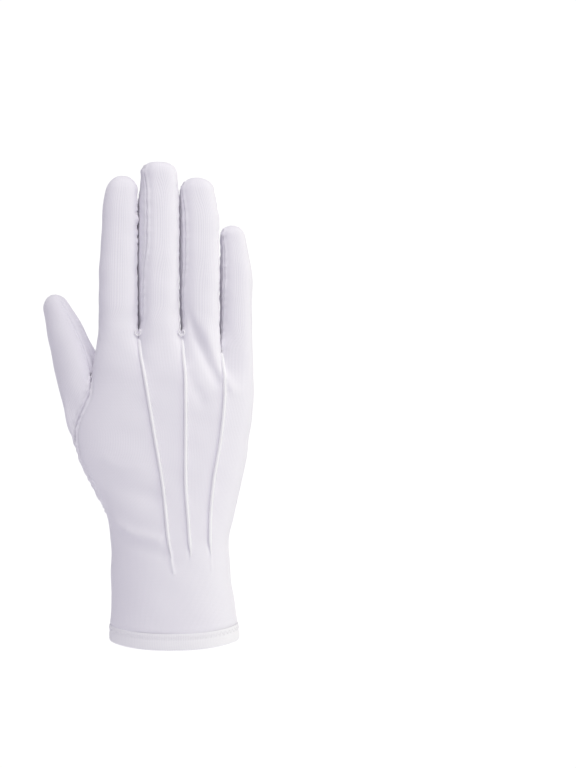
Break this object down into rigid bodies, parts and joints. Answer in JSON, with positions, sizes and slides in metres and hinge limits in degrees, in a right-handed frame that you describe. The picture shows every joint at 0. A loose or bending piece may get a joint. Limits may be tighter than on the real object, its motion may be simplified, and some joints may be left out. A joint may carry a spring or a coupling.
{
  "type": "white parade glove",
  "caption": "Right-hand dress glove of white stretch knit, filled as worn, with forked finger walls, a set-in thumb, raised tucks down the back and a stitched hem.",
  "frame": {"origin": "the middle of the wrist opening, in the plane of the hem's lower edge", "axes": "+Z towards the fingertips, -Y out of the back of the hand, +Y out of the palm, -X towards the thumb"},
  "size_m": [0.1095, 0.0455, 0.248],
  "materials": {
    "knit": "fine stretch knit with a faint sheen",
    "knit_wall": "the same knit, as cut for the narrow finger walls",
    "knit_double": "the same knit, doubled and stitched"
  },
  "bodies": {
    "root": {"trank": "knit", "thumb": "knit", "fourchette_index_middle": "knit_wall", "fourchette_middle_ring": "knit_wall", "fourchette_ring_little": "knit_wall", "cuff_hem": "knit_double", "tuck_index_middle": "knit_double", "tuck_middle_ring": "knit_double", "tuck_ring_little": "knit_double"}
  },
  "joints": []
}
